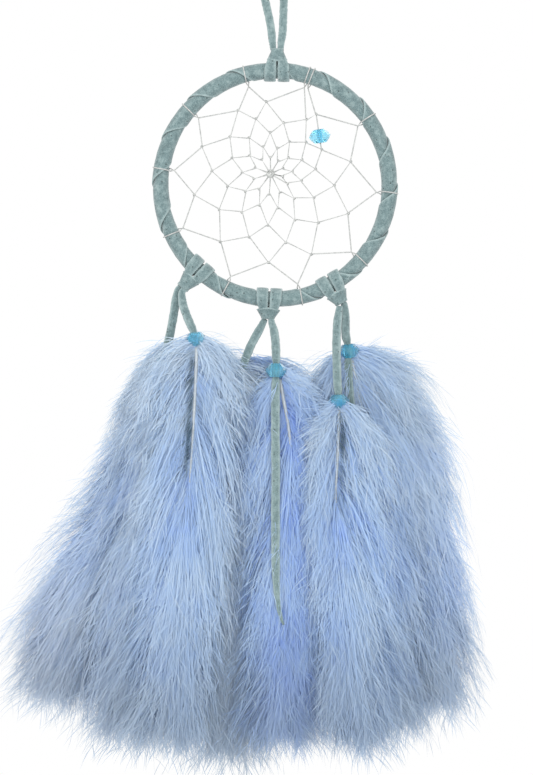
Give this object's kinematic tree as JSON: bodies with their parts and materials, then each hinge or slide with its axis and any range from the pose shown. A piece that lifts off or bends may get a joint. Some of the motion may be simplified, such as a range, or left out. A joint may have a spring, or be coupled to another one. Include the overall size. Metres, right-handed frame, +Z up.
{
  "type": "dream catcher",
  "caption": "Suede-wrapped hoop with a woven thread web and a bead, hung on a lace loop, with beaded lace tails that carry long soft marabou feathers.",
  "frame": {"origin": "top of the hanging loop, where it hangs on its nail", "axes": "+Z up, the hoop lies in the XZ plane and its front faces -Y, X = 0 through the hoop's centre"},
  "size_m": [0.1928, 0.042, 0.3325],
  "materials": {
    "suede": "matte blue-grey suede",
    "steel": "plain wire ring",
    "thread": "waxed off-white thread",
    "bead": "transparent aqua, faceted",
    "feather": "soft blue marabou down with pale quills"
  },
  "bodies": {
    "loop": {"hanging_loop": "suede"},
    "hanger": {"hanger_knot": "suede"},
    "hoop": {"hoop_ring": "steel", "hoop_wrap": "suede", "web_thread": "thread", "web_centre_knot": "thread", "knot_left": "suede", "knot_centre": "suede", "knot_right": "suede"},
    "web_bead": {"web_bead": "bead"},
    "tail_left_front": {"lace_left_front": "suede", "bead_left_front": "bead"},
    "tail_left_back": {"lace_left_back": "suede", "bead_left_back": "bead"},
    "tail_centre_front": {"lace_centre_front": "suede", "bead_centre_front": "bead", "feather_centre_front": "feather"},
    "tail_centre_back": {"lace_centre_back": "suede", "bead_centre_back": "bead"},
    "tail_right_front": {"lace_right_front": "suede", "bead_right_front": "bead"},
    "tail_right_back": {"lace_right_back": "suede", "bead_right_back": "bead"},
    "feather_left_front": {"feather_left_front": "feather"},
    "feathers_left_back": {"feather_left_back_1": "feather", "feather_left_back_2": "feather"},
    "feathers_centre_back": {"feather_centre_back_1": "feather", "feather_centre_back_2": "feather"},
    "feather_right_front": {"feather_right_front": "feather"},
    "feathers_right_back": {"feather_right_back_1": "feather", "feather_right_back_2": "feather"}
  },
  "joints": [
    {"name": "loop_twist", "type": "hinge", "parent": "loop", "child": "hanger", "pos_m": [0.00085, 0, -0.03], "axis": [0, 0, 1], "range_deg": [-90, 90]},
    {"name": "hoop_swing", "type": "hinge", "parent": "hanger", "child": "hoop", "pos_m": [0, 0, -0.03855], "axis": [1, 0, 0], "range_deg": [-20, 20]},
    {"name": "web_bead_slide", "type": "slide", "parent": "hoop", "child": "web_bead", "axis": [-0.1569, 0, 0.9876], "range_m": [0, 0.0025]},
    {"name": "tail_left_front_swing", "type": "hinge", "parent": "hoop", "child": "tail_left_front", "pos_m": [-0.0377, -0.001, -0.1292], "axis": [1, 0, 0], "range_deg": [-20, 0]},
    {"name": "tail_left_back_swing", "type": "hinge", "parent": "hoop", "child": "tail_left_back", "pos_m": [-0.039, 0.001, -0.128], "axis": [1, 0, 0], "range_deg": [0, 20]},
    {"name": "tail_centre_front_swing", "type": "hinge", "parent": "hoop", "child": "tail_centre_front", "pos_m": [-0.0016, -0.0012, -0.1417], "axis": [1, 0, 0], "range_deg": [-20, 0]},
    {"name": "tail_centre_back_swing", "type": "hinge", "parent": "hoop", "child": "tail_centre_back", "pos_m": [-0.0042, 0.0012, -0.1416], "axis": [1, 0, 0], "range_deg": [0, 20]},
    {"name": "tail_right_front_swing", "type": "hinge", "parent": "hoop", "child": "tail_right_front", "pos_m": [0.0268, -0.001, -0.1362], "axis": [1, 0, 0], "range_deg": [-20, 0]},
    {"name": "tail_right_back_swing", "type": "hinge", "parent": "hoop", "child": "tail_right_back", "pos_m": [0.0284, 0.001, -0.1346], "axis": [1, 0, 0], "range_deg": [0, 20]},
    {"name": "feather_left_front_swing", "type": "hinge", "parent": "tail_left_front", "child": "feather_left_front", "pos_m": [-0.0324, -0.0046, -0.1536], "axis": [1, 0, 0], "range_deg": [-20, 0]},
    {"name": "feathers_left_back_swing", "type": "hinge", "parent": "tail_left_back", "child": "feathers_left_back", "pos_m": [-0.0466, 0.0049, -0.1619], "axis": [1, 0, 0], "range_deg": [0, 20]},
    {"name": "feathers_centre_back_swing", "type": "hinge", "parent": "tail_centre_back", "child": "feathers_centre_back", "pos_m": [-0.0171, 0.005, -0.1736], "axis": [1, 0, 0], "range_deg": [0, 20]},
    {"name": "feather_right_front_swing", "type": "hinge", "parent": "tail_right_front", "child": "feather_right_front", "pos_m": [0.0265, -0.0046, -0.1795], "axis": [1, 0, 0], "range_deg": [-20, 0]},
    {"name": "feathers_right_back_swing", "type": "hinge", "parent": "tail_right_back", "child": "feathers_right_back", "pos_m": [0.0312, 0.005, -0.1586], "axis": [1, 0, 0], "range_deg": [0, 20]}
  ]
}
